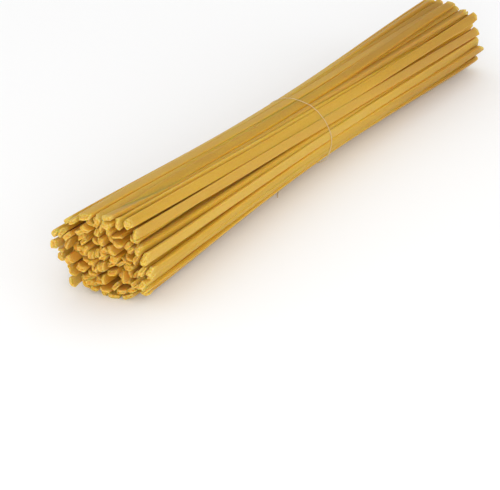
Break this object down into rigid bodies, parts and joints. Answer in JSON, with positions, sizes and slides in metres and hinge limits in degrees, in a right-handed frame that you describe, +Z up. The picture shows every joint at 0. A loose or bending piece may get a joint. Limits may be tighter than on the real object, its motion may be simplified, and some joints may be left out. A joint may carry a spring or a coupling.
{
  "type": "bundle of dry linguine",
  "caption": "Bundle of straight dry flat pasta strands, narrow at the waist where a knotted thread ties it, opening out at both ends, lying on its side.",
  "frame": {"origin": "bottom centre of the part's box, on the surface that the bundle lies on", "axes": "+X along the strands, from the wide end to the slim end; +Z up"},
  "size_m": [0.2706, 0.0424, 0.0409],
  "materials": {
    "dry_pasta": "satin",
    "tie_thread": "matte"
  },
  "bodies": {
    "root": {"linguine_bundle": "dry_pasta", "tie_thread": "tie_thread"}
  },
  "joints": []
}
